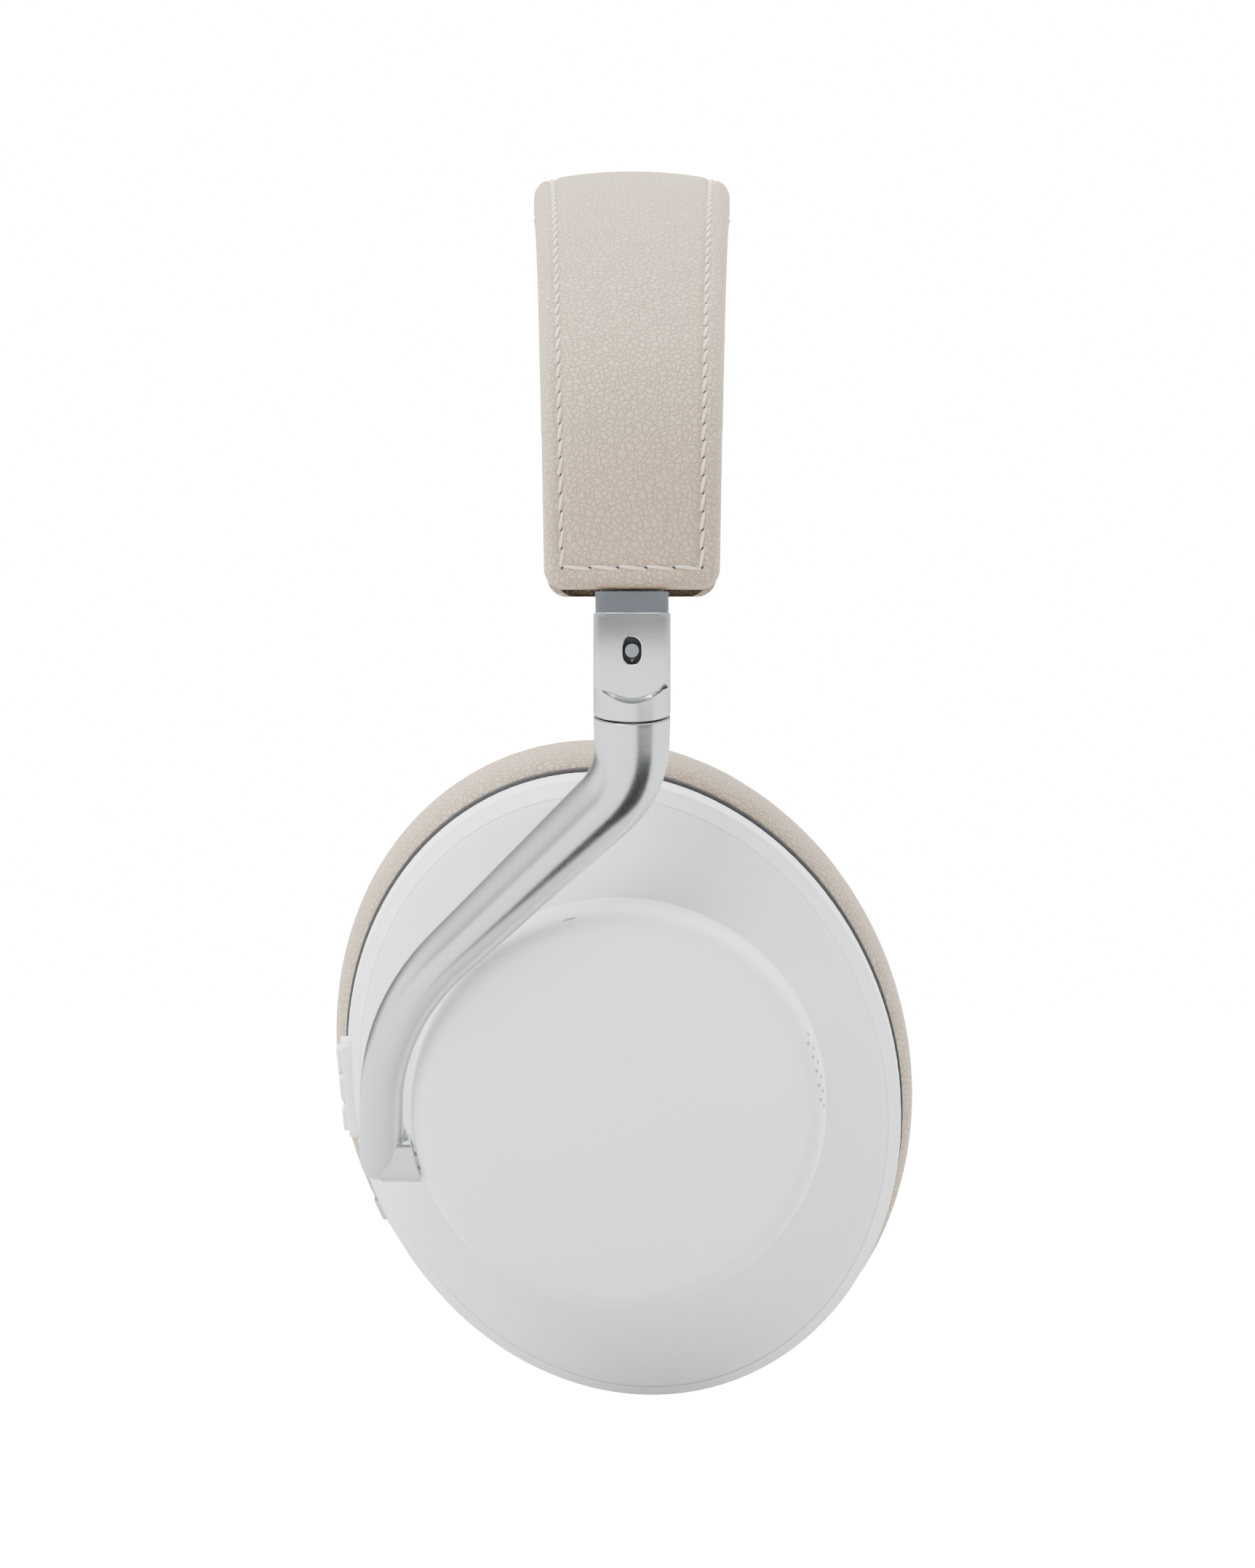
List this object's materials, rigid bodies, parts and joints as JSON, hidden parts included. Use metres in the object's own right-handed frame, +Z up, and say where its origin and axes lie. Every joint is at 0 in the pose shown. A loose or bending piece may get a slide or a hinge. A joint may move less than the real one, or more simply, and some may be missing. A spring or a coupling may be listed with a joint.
{
  "type": "over-ear headphones",
  "caption": "Wireless over-ear headphones with a leather headband, curved metal arms, and oval cups that slide, swivel and tilt.",
  "frame": {"origin": "middle of the underside of the whole object's box, as it stands upright on the cups", "axes": "+Z up to the top of the headband, +X towards the wearer's left cup, -Y the wearer's front"},
  "size_m": [0.1772, 0.0914, 0.1958],
  "materials": {
    "leather": "pebble grain, satin",
    "satin_aluminium": "fine satin",
    "steel": "brushed",
    "white_shell": "soft matte lacquer",
    "black_plastic": "fine matte",
    "grille_cloth": "open woven cloth",
    "circuit_board": "solder mask",
    "light": "clear diffuser"
  },
  "bodies": {
    "headband": {"headband_cover": "leather", "headband_spring": "steel", "headband_cushion": "leather", "slider_housing_left": "black_plastic", "slider_housing_right": "black_plastic"},
    "slider_left": {"slider_strip_left": "steel", "hinge_block_left": "satin_aluminium", "hinge_screw_left": "steel", "swivel_ring_left": "satin_aluminium", "swivel_pin_left": "steel"},
    "yoke_left": {"arm_left": "satin_aluminium", "tilt_pin_left": "steel"},
    "cup_left": {"cup_shell_left": "white_shell", "hub_cap_left": "white_shell", "hub_carrier_left": "black_plastic", "pad_ring_left": "black_plastic", "baffle_left": "black_plastic", "driver_frame_left": "black_plastic", "driver_magnet_left": "steel", "driver_diaphragm_left": "black_plastic", "driver_grille_left": "grille_cloth", "ear_pad_left": "leather", "circuit_board_left": "circuit_board", "control_panel_left": "white_shell", "battery": "black_plastic"},
    "slider_right": {"slider_strip_right": "steel", "hinge_block_right": "satin_aluminium", "hinge_screw_right": "steel", "swivel_ring_right": "satin_aluminium", "swivel_pin_right": "steel"},
    "yoke_right": {"arm_right": "satin_aluminium", "tilt_pin_right": "steel"},
    "cup_right": {"cup_shell_right": "white_shell", "hub_cap_right": "white_shell", "hub_carrier_right": "black_plastic", "pad_ring_right": "black_plastic", "baffle_right": "black_plastic", "driver_frame_right": "black_plastic", "driver_magnet_right": "steel", "driver_diaphragm_right": "black_plastic", "driver_grille_right": "grille_cloth", "ear_pad_right": "leather", "circuit_board_right": "circuit_board", "control_panel_right": "white_shell", "charging_port": "steel", "status_light": "light"},
    "volume_up_button": {"volume_up_button": "white_shell"},
    "play_button": {"play_button": "satin_aluminium"},
    "volume_down_button": {"volume_down_button": "white_shell"},
    "quick_button": {"quick_button": "satin_aluminium"},
    "mode_switch": {"mode_switch": "satin_aluminium"}
  },
  "joints": [
    {"name": "slide_left", "type": "slide", "parent": "headband", "child": "slider_left", "axis": [0.1736, 0, -0.9848], "range_m": [0, 0.02]},
    {"name": "swivel_left", "type": "hinge", "parent": "slider_left", "child": "yoke_left", "pos_m": [0.08243, -0.00128, 0.10965], "axis": [0.2334, 0, 0.9724], "range_deg": [-8, 90]},
    {"name": "tilt_left", "type": "hinge", "parent": "yoke_left", "child": "cup_left", "pos_m": [0.05829, 0.02584, 0.03821], "axis": [0, 1, 0], "range_deg": [-9, 9]},
    {"name": "slide_right", "type": "slide", "parent": "headband", "child": "slider_right", "axis": [-0.1736, 0, -0.9848], "range_m": [0, 0.02]},
    {"name": "swivel_right", "type": "hinge", "parent": "slider_right", "child": "yoke_right", "pos_m": [-0.08243, -0.00128, 0.10965], "axis": [-0.2334, 0, 0.9724], "range_deg": [-90, 8]},
    {"name": "tilt_right", "type": "hinge", "parent": "yoke_right", "child": "cup_right", "pos_m": [-0.05829, 0.02584, 0.03821], "axis": [0, 1, 0], "range_deg": [-9, 9]},
    {"name": "volume_up_press", "type": "slide", "parent": "cup_right", "child": "volume_up_button", "axis": [-0.0218, -0.9956, 0.091], "range_m": [0, 0.0005], "stiffness_N_per_m": 1200},
    {"name": "play_press", "type": "slide", "parent": "cup_right", "child": "play_button", "axis": [-0.0218, -0.9956, 0.091], "range_m": [0, 0.0005], "stiffness_N_per_m": 1200},
    {"name": "volume_down_press", "type": "slide", "parent": "cup_right", "child": "volume_down_button", "axis": [-0.0218, -0.9956, 0.091], "range_m": [0, 0.0005], "stiffness_N_per_m": 1200},
    {"name": "quick_press", "type": "slide", "parent": "cup_left", "child": "quick_button", "axis": [0.0218, -0.9956, 0.091], "range_m": [0, 0.0005], "stiffness_N_per_m": 1200},
    {"name": "mode_slide", "type": "slide", "parent": "cup_right", "child": "mode_switch", "axis": [-0.212, 0.4187, 0.883], "range_m": [-0.002, 0.002]}
  ]
}
